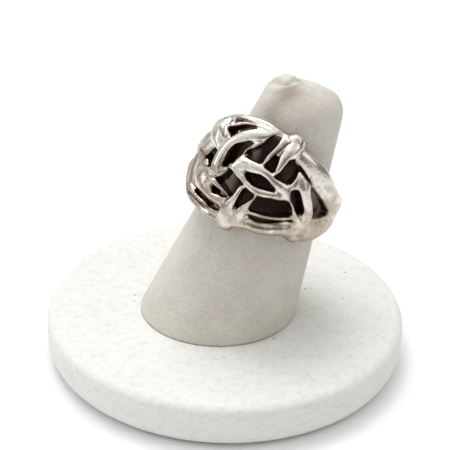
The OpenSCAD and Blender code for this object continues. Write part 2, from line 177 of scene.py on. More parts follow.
def calc(tree, operation, first, second):
    node = tree.nodes.new("ShaderNodeMath")
    node.operation = operation
    for socket, value in enumerate((first, second)):
        if hasattr(value, "is_output"):
            tree.links.new(value, node.inputs[socket])
        else:
            node.inputs[socket].default_value = value
    return node.outputs[0]


def plusShare(tree, first, second, share):
    # The first value and a share of the second
    return calc(tree, "ADD", first, calc(tree, "MULTIPLY", second, share))


def markOf(tree, name):
    return addNode(tree, "Attribute", attribute_name=name).outputs["Fac"]


def objectPlace(tree):
    # Places on a piece, in millimetres
    place = tree.nodes.new("ShaderNodeTexCoord")
    turned = tree.nodes.new("ShaderNodeMapping")
    turned.inputs["Scale"].default_value = (1 / mm,) * 3
    tree.links.new(place.outputs["Object"], turned.inputs["Vector"])
    return turned.outputs["Vector"]


# Camera at the photograph's angle
camera = {
    "lens": 96.0, "lookAt": (-0.34, 0.0, 18.9), "distance": 163.9,
    "elevation": 28.07, "roll": 1.54,
}


def placeCamera(s):
    elevation, roll = math.radians(s["elevation"]), math.radians(s["roll"])
    forward = Vector((0, math.cos(elevation), -math.sin(elevation)))
    side = Vector((1, 0, 0))
    rise = side.cross(forward)
    right = side * math.cos(roll) + rise * math.sin(roll)
    top = rise * math.cos(roll) - side * math.sin(roll)
    eye = (Vector(s["lookAt"]) - forward * s["distance"]) * mm
    data = bpy.data.cameras.new("photoCamera")
    data.lens = s["lens"]
    data.sensor_width = 36.0
    data.clip_start, data.clip_end = 0.01, 10.0
    holder = bpy.data.objects.new("photoCamera", data)
    scene.collection.objects.link(holder)
    holder.matrix_world = Matrix((
        (right.x, top.x, -forward.x, eye.x),
        (right.y, top.y, -forward.y, eye.y),
        (right.z, top.z, -forward.z, eye.z),
        (0, 0, 0, 1),
    ))
    scene.camera = holder
    print("camera placed")


placeCamera(camera)

# White sweep under a soft room
studio = {
    "floorSize": 900.0, "floorColour": (0.93, 0.935, 0.95),
    # the room is brightest to the left and overhead, and darkest straight ahead of the ring;
    # the horizon's stops run from left to right
    "skyHigh": (1.0, 1.0, 1.0), "skyPower": 1.0, "skyFrom": 0.3, "skyFull": 0.98,
    "horizon": [
        (0.0, (0.4, 0.41, 0.42)), (0.1, (0.62, 0.62, 0.62)), (0.22, (0.78, 0.78, 0.77)),
        (0.44, (0.24, 0.225, 0.205)), (0.6, (0.17, 0.155, 0.135)), (0.76, (0.22, 0.21, 0.19)),
        (0.84, (0.66, 0.645, 0.615)), (0.93, (0.34, 0.33, 0.32)), (1.0, (0.16, 0.155, 0.15))],
    # name, place, aimed at, size, power, colour
    "lights": [
        ("overhead", (-40, 90, 330), (0, 0, 10), (200, 160), 0.54, (1.0, 0.995, 0.985)),
        ("leftWindow", (-300, -60, 190), (0, 0, 20), (90, 200), 0.11, (0.97, 0.985, 1.0)),
        ("rightStrip", (260, -90, 210), (0, 0, 20), (50, 170), 0.06, (1.0, 0.98, 0.95)),
    ],
}


def buildStudio(s):
    bm = bmesh.new()
    bmesh.ops.create_grid(bm, x_segments=1, y_segments=1, size=s["floorSize"] * mm / 2)
    floor = newObject("floor", bm)
    material, tree, shader = newMaterial("whiteSweep")
    shader.inputs["Base Color"].default_value = (*s["floorColour"], 1)
    shader.inputs["Roughness"].default_value = 0.7
    floor.data.materials.append(material)
    world = bpy.data.worlds.new("studio")
    scene.world = world
    world.use_nodes = True
    tree = world.node_tree
    background = tree.nodes["Background"]
    toward = tree.nodes.new("ShaderNodeTexCoord")
    parts = tree.nodes.new("ShaderNodeSeparateXYZ")
    tree.links.new(toward.outputs["Generated"], parts.inputs["Vector"])
    along = calc(tree, "ADD", calc(tree, "MULTIPLY", parts.outputs["X"], 0.5), 0.5)
    horizon = ramp(tree, along, s["horizon"])
    height = ramp(tree, parts.outputs["Z"], [(s["skyFrom"], (0,)), (s["skyFull"], (1,))])
    tree.links.new(mixColour(tree, height, horizon, s["skyHigh"]), background.inputs["Color"])
    background.inputs["Strength"].default_value = s["skyPower"]
    for name, place, aim, size, power, colour in s["lights"]:
        data = bpy.data.lights.new(name, "AREA")
        data.shape = "RECTANGLE"
        data.size, data.size_y = size[0] * mm, size[1] * mm
        data.energy = power
        data.color = colour
        lamp = bpy.data.objects.new(name, data)
        lamp.location = Vector(place) * mm
        lamp.rotation_mode = "QUATERNION"
        lamp.rotation_quaternion = (Vector(aim) - Vector(place)).to_track_quat("-Z", "Y")
        scene.collection.objects.link(lamp)
    scene.view_settings.view_transform = "Standard"
    print("studio built")


buildStudio(studio)


# Grain of the off-white leatherette, used on the post and on the base
def buildLeatherGrain():
    group = bpy.data.node_groups.new("leatherGrain", "ShaderNodeTree")
    face = group.interface
    for name, kind, value in (
        ("Place", "NodeSocketVector", None),
        ("Light", "NodeSocketColor", (0.82, 0.81, 0.78, 1)),
        ("Shade", "NodeSocketColor", (0.68, 0.65, 0.6, 1)),
        ("Grain Size", "NodeSocketFloat", 0.45),
        ("Roughness", "NodeSocketFloat", 0.6),
        # how much painted shade darkens the gaps between the pebbles
        ("Pebble Shade", "NodeSocketFloat", 1.0),
    ):
        socket = face.new_socket(name=name, in_out="INPUT", socket_type=kind)
        if value is not None:
            socket.default_value = value
    results = {"Color": "NodeSocketColor", "Roughness": "NodeSocketFloat", "Height": "NodeSocketFloat"}
    for name, kind in results.items():
        face.new_socket(name=name, in_out="OUTPUT", socket_type=kind)
    given = group.nodes.new("NodeGroupInput")
    made = group.nodes.new("NodeGroupOutput")
    join = group.links.new
    density = calc(group, "DIVIDE", 1.0, given.outputs["Grain Size"])
    pebbles = addNode(group, "TexVoronoi", feature="SMOOTH_F1")
    pebbles.inputs["Smoothness"].default_value = 0.4
    join(given.outputs["Place"], pebbles.inputs["Vector"])
    join(density, pebbles.inputs["Scale"])
    # short creases that run across the piece
    drawn = addNode(group, "Mapping", {"Scale": (0.8, 0.8, 1.7)})
    join(given.outputs["Place"], drawn.inputs["Vector"])
    creases = addNode(group, "TexNoise", {"Detail": 4.0, "Roughness": 0.65, "Distortion": 0.4})
    join(drawn.outputs["Vector"], creases.inputs["Vector"])
    join(calc(group, "MULTIPLY", density, 0.55), creases.inputs["Scale"])
    clouds = addNode(group, "TexNoise", {"Scale": 0.2, "Detail": 4.0, "Roughness": 0.6})
    join(given.outputs["Place"], clouds.inputs["Vector"])
    pebbleTop = calc(group, "SUBTRACT", 1.0, pebbles.outputs["Distance"])
    creaseRise = calc(group, "MULTIPLY", creases.outputs["Fac"], 0.8)
    height = calc(group, "ADD", calc(group, "MULTIPLY", pebbleTop, 0.9), creaseRise)
    pale = ramp(group, clouds.outputs["Fac"], [(0.35, (0,)), (0.65, (1,))])
    colour = mixColour(group, pale, (0, 0, 0), (0, 0, 0))
    mixer = colour.node
    join(given.outputs["Shade"], mixer.inputs[6])
    join(given.outputs["Light"], mixer.inputs[7])
    # painted shade: the colour is darkened in the crease valleys and in the gaps between the pebbles
    creaseShade = ramp(group, creases.outputs["Fac"], [(0.3, (0.9,)), (0.55, (1,))])
    toned = mixColour(group, 1.0, colour, creaseShade, "MULTIPLY")
    between = ramp(group, pebbles.outputs["Distance"], [(0.08, (1.01,)), (0.6, (0.91,))])
    toned = mixColour(group, given.outputs["Pebble Shade"], toned, between, "MULTIPLY")
    join(toned, made.inputs["Color"])
    roughness = plusShare(group, given.outputs["Roughness"], creases.outputs["Fac"], 0.12)
    join(roughness, made.inputs["Roughness"])
    join(height, made.inputs["Height"])
    return group


leatherGrain = buildLeatherGrain()


def leatherMaterial(name, s):
    material, tree, shader = newMaterial(name)
    grain = tree.nodes.new("ShaderNodeGroup")
    grain.node_tree = leatherGrain
    tree.links.new(objectPlace(tree), grain.inputs["Place"])
    grain.inputs["Light"].default_value = (*s["light"], 1)
    grain.inputs["Shade"].default_value = (*s["shade"], 1)
    grain.inputs["Grain Size"].default_value = s["grain"]
    grain.inputs["Roughness"].default_value = s["roughness"]
    grain.inputs["Pebble Shade"].default_value = s["pebbleShade"]
    relief = addNode(tree, "Bump", {"Strength": s["bump"], "Distance": 0.00008})
    tree.links.new(grain.outputs["Height"], relief.inputs["Height"])
    tree.links.new(relief.outputs["Normal"], shader.inputs["Normal"])
    tree.links.new(grain.outputs["Color"], shader.inputs["Base Color"])
    tree.links.new(grain.outputs["Roughness"], shader.inputs["Roughness"])
    shader.inputs["Specular IOR Level"].default_value = 0.35
    shader.inputs["Sheen Weight"].default_value = 0.08
    return material, tree, shader


# Round base, covered in leatherette, with its backing sheet
base = {
    "radius": 25.0, "height": 5.95, "underInset": 1.5, "topRound": 1.2, "belly": 0.4,
    "backing": 0.4, "backingRadius": 23.0, "backingEdge": 0.1, "turns": 180,
    "light": (0.83, 0.835, 0.8), "shade": (0.815, 0.82, 0.78), "grain": 0.45, "roughness": 0.6, "bump": 0.3,
    "pebbleShade": 0.3, "feltDark": (0.16, 0.12, 0.1), "feltPale": (0.34, 0.28, 0.24),
    # small marks on the upper face: x, y, reach
    "specks": [
        (-12.9, 1.6, 0.3), (-12.9, 0.1, 0.22), (11.5, 4.6, 0.28), (12.3, 4.8, 0.2), (16.8, 2.1, 0.22),
        (17.7, 9.6, 0.25), (6.7, -8.7, 0.3), (7.3, -6.4, 0.22), (0.0, -13.5, 0.2)],
    "speckColour": (0.3, 0.29, 0.27), "speckMost": 0.7,
}


def profileSpin(profile, steps):
    # Turns a line of (radius, height) points round the upright
    bm = bmesh.new()
    line = [bm.verts.new((r, 0, z)) for r, z in profile]
    edges = [bm.edges.new(pair) for pair in zip(line, line[1:])]
    bmesh.ops.spin(
        bm, geom=line + edges, cent=(0, 0, 0), axis=(0, 0, 1), angle=math.tau, steps=steps, use_merge=True)
    bmesh.ops.remove_doubles(bm, verts=bm.verts, dist=0.0005)
    bmesh.ops.recalc_face_normals(bm, faces=bm.faces)
    return bm


def buildBase(s):
    low, top = s["backing"], s["backing"] + s["height"]
    belly = s["belly"] * s["height"]
    inner = s["radius"] - s["underInset"]
    rounded = s["topRound"]
    flatEnd = s["radius"] - rounded
    quarter = [math.radians(90 * step / 8) for step in range(9)]
    # rings across the flat stretches keep the faces short
    profile = [(0, low), (8, low), (16, low), (inner - 1.0, low), (inner - 0.3, low)]
    profile += [(inner + s["underInset"] * math.sin(a), low + belly * (1 - math.cos(a))) for a in quarter]
    profile += [(s["radius"], low + belly + 0.9), (s["radius"], top - rounded - 0.3)]
    profile += [(flatEnd + rounded * math.cos(a), top - rounded + rounded * math.sin(a)) for a in quarter]
    profile += [(s["radius"] - 2.4, top), (21, top), (18, top), (14, top), (9, top), (4, top), (0, top)]
    bm = profileSpin(profile, s["turns"])
    bmesh.ops.transform(bm, matrix=Matrix.Scale(mm, 4), verts=bm.verts)
    piece = newObject("baseCover", bm)
    material, tree, shader = leatherMaterial("baseLeatherette", s)
    place = objectPlace(tree)
    colour = shader.inputs["Base Color"].links[0].from_socket
    for x, y, reach in s["specks"]:
        away = addNode(tree, "VectorMath", operation="DISTANCE")
        tree.links.new(place, away.inputs[0])
        away.inputs[1].default_value = (x, y, top)
        spot = ramp(tree, away.outputs["Value"], [(0.5 * reach, (s["speckMost"],)), (reach, (0,))])
        colour = mixColour(tree, spot, colour, s["speckColour"])
    tree.links.new(colour, shader.inputs["Base Color"])
    finishSurface(piece, material)
    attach(piece, "root")
    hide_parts("base_disc")
    print("base built")


buildBase(base)


def buildBacking(s):
    out, edge, top = s["backingRadius"], s["backingEdge"], s["backing"]
    profile = [(0, 0), (out - edge, 0), (out, edge), (out, top), (0, top)]
    bm = profileSpin(profile, s["turns"])
    bmesh.ops.transform(bm, matrix=Matrix.Scale(mm, 4), verts=bm.verts)
    piece = newObject("baseFelt", bm)
    material, tree, shader = newMaterial("backingFelt")
    place = objectPlace(tree)
    fibres = addNode(tree, "TexNoise", {"Scale": 5.0, "Detail": 5.0, "Roughness": 0.7})
    tree.links.new(place, fibres.inputs["Vector"])
    colour = ramp(tree, fibres.outputs["Fac"], [(0.3, s["feltDark"]), (0.7, s["feltPale"])])
    tree.links.new(colour, shader.inputs["Base Color"])
    shader.inputs["Roughness"].default_value = 0.95
    relief = addNode(tree, "Bump", {"Strength": 0.6, "Distance": 0.0001})
    tree.links.new(fibres.outputs["Fac"], relief.inputs["Height"])
    tree.links.new(relief.outputs["Normal"], shader.inputs["Normal"])
    finishSurface(piece, material, smooth=False)
    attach(piece, "root")
    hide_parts("base_backing")
    print("backing built")


buildBacking(base)


# The ring, in its own frame: +X is the middle of the front, +Z runs along the finger toward the tip
ring = {
    "boreRadius": 9.1, "backWall": 1.15, "domeRise": 1.15, "edgeDrop": 1.3,
    "frontHeight": 14.2, "backHeight": 3.2, "strandWidth": 1.7, "strandLift": 0.6,
    "taper": 1.7, "edgeCurve": 2.5, "fadeEnd": 120.0, "farFadeEnd": 74.0, "weaveEnd": 84.0, "waist": 0.45,
    # the far shank sags toward the foot between these degrees
    "farSag": 1.3, "sagStart": (-48, -66), "sagEnd": (-95, -135),
    "crownShare": 0.55, "crownSquare": 0.9, "flank": 1.6, "leastHalf": 0.02, "bandRound": 0.55,
    "sheetDrop": 0.3, "insideSpare": 0.35, "seatGap": 0.45, "tip": 15.5, "turn": -130.0, "side": -0.7,
    "rollOver": 0.28, "edgeReach": 0.36, "sillClear": (0.2, 0.45), "skin": 0.3, "seamEnd": 90,
    "grain": 0.11, "triangles": 180000, "weld": 0.003, "crumb": 1000,
}
# Millimetres along the front for each degree
perDegree = math.radians(ring["boreRadius"] + ring["backWall"] + ring["domeRise"])
# Rows of a strand: degrees round the ring from the front, share of the half height toward the tip,
# share of the strand width, share of the strand lift
strands = {
    "rimTop": [
        (-36, .74, .5, -.5), (-33, .79, .7, 0), (-29, .85, .6, .1), (-20, .92, .55, .2),
        (-10, .95, .55, .2), (0, .97, .55, .2), (10, .95, .6, .1), (18, .94, .8, 0), (25, .92, .6, -.5)],
    "rimTopRib": [
        (-29, .68, .4, .2), (-23, .71, .35, .4), (-17, .80, .3, .5), (-11, .86, .3, .5), (-4, .895, .3, .5),
        (5, .91, .3, .3), (11, .93, .3, 0)],
    "arch": [
        (-12.5, -.27, .5, -.4), (-14.5, -.20, 1.0, .6), (-16.5, -.11, 1.1, 1.0), (-17, .02, 1.05, 1.1),
        (-17, .14, 1.0, 1.1), (-16.5, .25, 1.0, 1.1), (-15.5, .35, .95, 1.1), (-13, .47, 1.0, 1.1),
        (-9.5, .58, 1.15, 1.0), (-4, .69, 1.25, .9), (1, .75, 1.2, .7), (6, .83, .9, .3), (10, .91, .6, 0),
        (13, .95, .3, -.6)],
    "archRib": [
        (-4.5, .24, .3, .3), (-3, .35, .25, .5), (-1.2, .46, .25, .5), (1, .55, .4, .4), (3, .64, .6, .2),
        (4.5, .72, .4, -.4)],
    "leafTop": [
        (-10, .01, .4, -.3), (-7, .04, .9, .6), (-3.5, .08, 1.3, 1.0), (0, .15, 1.6, 1.1),
        (5, .205, 1.2, 1.1), (11, .235, .95, 1.1), (16, .23, .85, 1.1), (21, .19, .9, 1.0),
        (25, .155, .95, 1.0), (30, .12, 1.2, .9), (34, .07, 1.4, .7), (37.5, .03, 1.2, .4),
        (40, .01, .6, -.2)],
    "leafLow": [
        (-3, .02, .8, .8), (1, -.01, 1.0, .9), (4, -.04, .7, .9), (7, -.08, .55, .9), (12, -.125, .65, .9),
        (17, -.135, .75, .9), (21, -.115, .8, .9), (25, -.08, .8, .9), (29, -.04, 1.0, .8),
        (34, .02, .9, .5), (38, .02, .6, 0)],
    "knot": [
        (-32, .82, .6, -.2), (-32.5, .74, 1.3, .6), (-32.5, .65, 1.8, 1.1), (-31.5, .55, 2.0, 1.3),
        (-29.5, .45, 1.9, 1.3), (-27, .36, 1.5, 1.1), (-24, .28, 1.1, .7), (-21, .20, .8, .3),
        (-18, .13, .5, -.3)],
    "knotFace": [
        (-26, .70, .4, .6), (-24.5, .62, .8, 1.0), (-22.5, .53, 1.0, .95), (-20.5, .44, .8, .7),
        (-18.5, .36, .4, 0)],
    "knotRib": [
        (-27, .80, .4, 0), (-24, .74, .5, .5), (-21, .66, .4, .7), (-18.5, .57, .4, .7), (-17, .48, .4, .5),
        (-15.5, .38, .3, -.4)],
    "side": [
        (-30, .42, .8, 0), (-33, .32, 1.1, .3), (-36.2, .21, 1.2, .35), (-39, .08, 1.3, .35),
        (-41.8, -.07, 1.3, .3), (-43.4, -.24, 1.4, .25), (-43, -.42, 1.5, .2), (-41, -.58, 1.5, .15),
        (-36.5, -.72, 1.3, 0)],
    "curl": [
        (-31, -.22, .5, -.1), (-29.5, -.29, 1.3, .6), (-27, -.36, 1.8, 1.0), (-24, -.42, 2.0, 1.15),
        (-20.5, -.475, 2.0, 1.15), (-17, -.52, 1.7, 1.05), (-13.5, -.565, 1.3, .95), (-9, -.60, 1.0, .8),
        (-4, -.60, .9, .6), (1, -.60, 1.0, .3)],
    "curlTop": [
        (-24, -.27, .8, .8), (-20.5, -.25, 1.0, 1.0), (-17, -.28, 1.0, 1.05), (-13.5, -.325, .8, 1.0),
        (-10, -.36, .55, .9), (-5, -.395, .35, .65), (0, -.43, .3, .4), (3, -.47, .3, 0)],
    "rimLowRib": [
        (-43, -.72, .4, .1), (-34, -.79, .35, .4), (-25, -.81, .3, .5), (-16, -.81, .3, .5),
        (-9, -.84, .3, .4), (-2, -.83, .4, .2)],
    "rimLowLeft": [
        (-56, -.62, .6, -.5), (-52, -.72, .9, 0), (-47, -.84, .8, 0), (-40, -.94, .7, 0),
        (-30, -.96, .65, .1), (-18, -.95, .65, .1), (-8, -.93, .7, .1), (2, -.91, .8, .1),
        (8, -.90, .6, -.4)],
    "stem": [
        (7.5, -.10, .4, .2), (7, -.17, .5, .4), (6, -.25, .5, .7), (5.6, -.34, .5, .9),
        (5.2, -.43, .6, 1.0), (4.2, -.53, .8, 1.0), (3.2, -.65, 1.1, 1.0), (3.5, -.77, 1.4, .9),
        (5.5, -.88, 1.5, .7), (8, -.98, 1.0, .2)],
    "stemRib": [
        (18.5, -.10, .3, .2), (17.5, -.17, .3, .5), (16.4, -.28, .3, .6), (15, -.39, .5, .6),
        (13.5, -.50, .8, .5), (12.5, -.61, 1.1, .4), (11, -.74, 1.2, .3), (9, -.88, 1.1, .1)],
    "loopBody": [
        (25, 1.04, .8, .3), (25, 1.00, 1.15, .9), (25.2, .93, 1.3, 1.2), (24.8, .84, 1.3, 1.3),
        (23.8, .74, 1.25, 1.25), (22.9, .64, 1.1, 1.15), (22.3, .54, .9, 1.0), (22, .44, .7, .9),
        (21.7, .34, .55, .7), (21, .26, .5, .4), (20, .16, .4, 0)],
    "loopRib": [
        (20, 1.02, .5, .1), (18, .96, .6, .7), (16.3, .87, .5, .9), (15.4, .76, .47, 1.0),
        (14.6, .66, .45, 1.0), (13.7, .57, .42, 1.0), (12.8, .48, .35, .9), (12.1, .38, .3, .8),
        (11.5, .29, .4, .5), (11, .20, .4, 0)],
    "loopWeb": [
        (17, .60, .6, .1), (18, .70, 1.0, .3), (19.5, .80, 1.2, .5), (21, .90, 1.3, .6),
        (22.5, .98, 1.0, .4)],
    "rimLow": [
        (-2, -.90, .7, -.4), (4, -.88, .9, .1), (14, -.82, 1.0, .1), (20, -.78, 1.0, .15),
        (26, -.785, 1.0, .2), (33, -.77, 1.05, .2), (39, -.73, 1.15, .15), (45, -.69, 1.25, .15),
        (51, -.68, 1.4, .2), (57, -.75, 1.3, .2), (63, -.80, .8, -.4)],
    "sill": [
        (12, -.58, .4, -.6), (16, -.56, .36, .3), (20, -.545, .3, .5), (26, -.53, .28, .6),
        (32, -.50, .28, .6), (37, -.46, .28, .6), (42, -.405, .3, .5), (46, -.36, .4, .2),
        (50, -.34, .4, -.6)],
    "bow": [
        (36, .58, .2, .4), (37.5, .52, .6, .8), (39, .46, 1.0, 1.0), (41, .39, 1.2, 1.2),
        (43, .31, 1.2, 1.3), (45.5, .21, 1.05, 1.3), (48.5, .10, 1.0, 1.3), (51.5, -.03, 1.0, 1.3),
        (54, -.16, 1.1, 1.2), (55.3, -.29, 1.2, 1.1), (55.8, -.43, 1.3, 1.0), (56.5, -.58, 1.3, .9),
        (57.5, -.74, 1.3, .8), (58.5, -.88, 1.1, .3)],
    "bowFace": [
        (35.3, .58, .3, .5), (36, .48, .9, .9), (36.3, .38, 1.3, .95), (36.5, .28, 1.6, .9),
        (36.5, .18, 1.3, .7), (36.5, .08, .9, .4)],
    "bowRib": [
        (35, .07, .3, .1), (37.5, .02, .4, .6), (39.8, -.085, .35, .7), (42, -.16, .35, .7),
        (44.5, -.245, .45, .7), (47, -.33, .7, .6), (50.5, -.44, .9, .5), (53, -.58, 1.0, .4),
        (55, -.72, .8, -.2)],
    "armTop": [
        (20, .82, .6, -.8), (26, .82, 1.0, -.3), (32, .82, 1.2, 0), (40, .79, 1.5, .1), (50, .725, 1.9, .1),
        (60, .62, 2.0, .1), (70, .49, 1.9, .1), (80, .36, 1.8, 0), (92, .27, 1.7, 0), (106, .22, 1.5, -.4)],
    "armLow": [
        (52, -.66, 1.2, -.6), (58, -.63, 1.9, 0), (65, -.61, 2.3, .1), (70, -.60, 2.3, .2),
        (76, -.54, 2.2, .3), (83, -.47, 2.0, .25), (93, -.37, 1.8, .1), (107, -.24, 1.5, -.4)],
    "farArmTop": [
        (-28, .80, .5, -.6), (-34, .60, 1.0, -.3), (-41, .40, 1.3, -.3), (-49, .24, 1.4, -.2),
        (-57, .20, 1.4, -.1), (-66, .22, 1.4, 0), (-76, .25, 1.5, 0), (-90, .28, 1.6, 0),
        (-106, .22, 1.5, -.4)],
    "farArmLow": [
        (-38, -.92, .6, -.6), (-44, -.84, .9, -.1), (-50, -.66, 1.3, 0), (-58, -.42, 1.5, 0),
        (-67, -.32, 1.5, 0), (-77, -.30, 1.5, 0), (-90, -.28, 1.6, 0), (-106, -.22, 1.5, -.4)],
}
# Rounded ends that strands run into, in the same columns
knobs = [
    (-14.7, -.17, 1.15, .75), (5, -.90, 1.45, .6), (57, -.80, 1.4, .6), (25, .97, 1.5, .9),
    (-31, .62, 1.9, .9), (1, -.54, .8, .2), (36, .04, 1.2, .4)]
# Outlines of the openings: degrees from the front, share of the half height
openings = {
    "underRim": [
        (-16.7, .50), (-20, .56), (-23, .62), (-23.5, .66), (-20, .70), (-17, .75), (-15, .79), (-11, .83),
        (-5, .865), (-5.5, .83), (-9, .77), (-11.7, .71), (-13.8, .63), (-15.3, .55)],
    "besideKnot": [
        (-36.5, -.13), (-32, .01), (-30, .12), (-28, .17), (-21.7, .16), (-21, .03), (-20.2, -.12),
        (-20.5, -.17), (-24, -.20), (-27.4, -.15), (-30.4, -.09)],
    "inArch": [
        (-13, -.055), (-13.3, .06), (-13, .16), (-12.8, .27), (-11.8, .36), (-10.4, .43), (-8.3, .48),
        (-5.5, .535), (-3.5, .58), (-1.5, .58), (-1, .54), (-2, .485), (-3.5, .40), (-3.2, .33), (-5, .26),
        (-5.5, .19), (-5.8, .12), (-8, .09), (-10.2, .04)],
    "aboveLeaf": [
        (-1.9, .40), (-1, .45), (2, .535), (3.5, .605), (5.6, .68), (6.3, .75), (7.3, .825), (9, .885),
        (11.6, .89), (14, .90), (14.2, .84), (13.9, .75), (13, .665), (12.2, .60), (11.4, .53), (11.1, .46),
        (11.1, .40), (10.5, .345), (8.2, .335), (6, .33), (2.7, .33), (0, .35)],
    "inLoop": [
        (13.1, .34), (13.9, .415), (15.8, .49), (17.4, .555), (18.8, .58), (19.7, .465), (19.9, .39),
        (20.1, .32), (18.3, .31), (15.9, .315)],
    "rightOfLoop": [
        (25.6, .65), (28.3, .70), (31.3, .67), (34.4, .61), (34.2, .54), (34.1, .41), (33.5, .34),
        (32.7, .26), (30.3, .25), (27.8, .245), (25.3, .245), (21.8, .25), (23, .33), (24.1, .385),
        (24.6, .48), (25.2, .57)],
    "alongArm": [
        (30.6, .705), (36.5, .65), (40.6, .60), (43.5, .56), (46.8, .52), (45.5, .49), (42.6, .52),
        (39.9, .545), (37, .58), (34.4, .61)],
    "inLeaf": [
        (3.8, .08), (7.3, .08), (11.2, .10), (12.5, .145), (14.8, .15), (17.7, .145), (21.2, .10),
        (24, .06), (26, .01), (23, -.01), (19.4, -.03), (15.9, -.05), (12, -.06), (10.3, -.04), (7.5, -.02),
        (5.4, .03)],
    "leftOfLeaf": [
        (-8.6, -.04), (-5.8, -.01), (-2, -.045), (2, -.085), (6.3, -.135), (4.3, -.185), (4, -.27),
        (3.6, -.35), (2, -.45), (-.4, -.415), (-4.2, -.38), (-8.4, -.335), (-11.8, -.30), (-14.7, -.31),
        (-11.2, -.245), (-10, -.18), (-9.4, -.12)],
    "inCurl": [
        (-13.4, -.435), (-9.2, -.435), (-4.7, -.435), (-.8, -.45), (-2.1, -.48), (-5.6, -.50), (-10, -.545),
        (-12, -.49)],
    "underCurl": [
        (-30.5, -.62), (-27, -.65), (-22.7, -.66), (-19, -.665), (-14.6, -.68), (-11.3, -.70), (-7.1, -.70),
        (-3.3, -.71), (-2.5, -.735), (-3.4, -.78), (-6.7, -.785), (-10.3, -.79), (-12.8, -.75),
        (-16.5, -.73), (-19.7, -.75), (-24, -.75), (-27.6, -.76), (-30, -.71)],
    "inStem": [
        (7.8, -.215), (9.4, -.19), (12.6, -.205), (15.7, -.24), (15.2, -.31), (12.6, -.41), (10.5, -.50),
        (7.5, -.60), (7.5, -.49), (7.5, -.39), (7.6, -.29)],
    "underLeaf": [
        (17.8, -.22), (21.4, -.205), (25.5, -.155), (28.6, -.14), (31.9, -.13), (34.8, -.095),
        (37.4, -.085), (40.3, -.13), (42, -.20), (42.9, -.27), (43.7, -.33), (42, -.36), (36.7, -.425),
        (31.4, -.46), (26, -.49), (20.5, -.505), (17, -.505), (16.7, -.385), (17.1, -.30)],
    "underSill": [
        (18, -.60), (20.5, -.585), (26, -.575), (31.4, -.54), (36.7, -.505), (42, -.445), (45.5, -.415),
        (48.3, -.46), (43.7, -.465), (38.3, -.555), (32.6, -.63), (25.8, -.66), (20.2, -.65)],
    "inBow": [
        (35.8, .175), (38.8, .23), (41.4, .185), (43.8, .10), (46.5, 0), (48.7, -.09), (49.7, -.17),
        (48.5, -.235), (45.7, -.20), (42.7, -.125), (40, -.05), (38, .025), (36.4, .105)],
    "inFork": [
        (48.4, .415), (47.7, .35), (50, .255), (52.7, .16), (56.3, -.035), (59.3, -.235), (67, -.21),
        (73.3, -.12), (77, -.06), (77, .06), (69.2, .20), (62.5, .305), (56.8, .365), (52, .415)],
}
# Dark seams between strands, partly grime in the joins and partly painted shade in the crevices: degrees from
# the front and share of the half height, then width and depth
seams = {
    "inLoopHead": ([(14.5, .52), (15.6, .61), (16.8, .7), (18.2, .79), (19.6, .88), (21, .93)], 0.2, 1.0),
    "roundLoop": ([
        (10.6, .98), (15, 1.02), (20, 1.06), (25, 1.06), (29.5, 1.03), (31, .93), (31, .84)], 0.2, 0.5),
    "rimTop": ([(-25.6, .74), (-24.5, .82), (-23, .88), (-18, .9), (-11.8, .9), (-4.5, .93)], 0.19, 0.9),
    "onKnot": ([(-28.4, .60), (-26, .54), (-23.7, .49), (-19.8, .47)], 0.22, 0.75),
    "besideCurl": ([
        (-44.5, .03), (-37.2, -.03), (-33.5, -.1), (-33.8, -.28), (-33.5, -.44), (-31.5, -.6)], 0.26, 0.85),
    "lowLeft": ([(-37, -.93), (-28, -.88), (-18.7, -.84), (-9.6, -.83)], 0.18, 0.9),
    "alongFork": ([(46.6, .5), (52, .4), (58, .315), (65, .2), (73, .04)], 0.2, 0.85),
    "besideBow": ([(33.6, .14), (35.2, .09), (36.7, .04), (38.5, -.04)], 0.3, 0.7),
}
# Pitted places: degrees, share of the half height, reach in millimetres
pitted = [
    (-21.6, -.3, 1.3), (1.5, .3, 1.1), (-37, .0, 1.2), (48, .64, 1.4), (55, .56, 1.3), (62, -.28, 1.1),
    (70, -.34, 1.5), (75, -.24, 1.2), (-36, -.86, 1.6), (-24, -.9, 1.4)]
# Upper and lower edges of the sheet under the strands
sheetTop = [
    (-96, .55), (-76, .42), (-60, .34), (-50, .36), (-42, .48), (-36, .64), (-27, .88), (-10, .94),
    (10, .94), (25, .98), (40, .93), (57, .90), (70, .80), (96, .74)]
sheetLow = [
    (-96, .60), (-76, .52), (-60, .62), (-50, .80), (-44, .92), (-31, .98), (0, .94), (10, .94), (17, .84),
    (25, .79), (50, .79), (63, .90), (76, .82), (96, .74)]


def valueAt(angle, rows):
    for (a, p), (b, q) in zip(rows, rows[1:]):
        if angle <= b:
            return p + (q - p) * max(0.0, (angle - a) / (b - a))
    return rows[-1][1]


def halfHeight(angle):
    front = ((1 + math.cos(math.radians(angle))) / 2) ** ring["taper"]
    return (ring["backHeight"] + (ring["frontHeight"] - ring["backHeight"]) * front) / 2


def domeLeft(angle):
    # The front's bulge dies away sooner on the far side
    end = ring["fadeEnd"] if angle > 0 else ring["farFadeEnd"]
    return math.cos(math.radians(90 * angle / end)) if abs(angle) < end else 0.0


def formRadius(angle, across):
    drop = ring["edgeDrop"] * abs(across) ** ring["edgeCurve"]
    return ring["boreRadius"] + ring["backWall"] + domeLeft(angle) * (ring["domeRise"] - drop)


def onRing(angle, across, radius):
    a = math.radians(angle)
    begun, ended = smoothBetween(*ring["sagStart"], angle), smoothBetween(*ring["sagEnd"], angle)
    sag = ring["farSag"] * begun * (1 - ended)
    return Vector((radius * math.cos(a), radius * math.sin(a), across * halfHeight(angle) - sag))


def crownPoint(row):
    return onRing(row[0], row[1], formRadius(row[0], row[1]) + row[3] * ring["strandLift"])


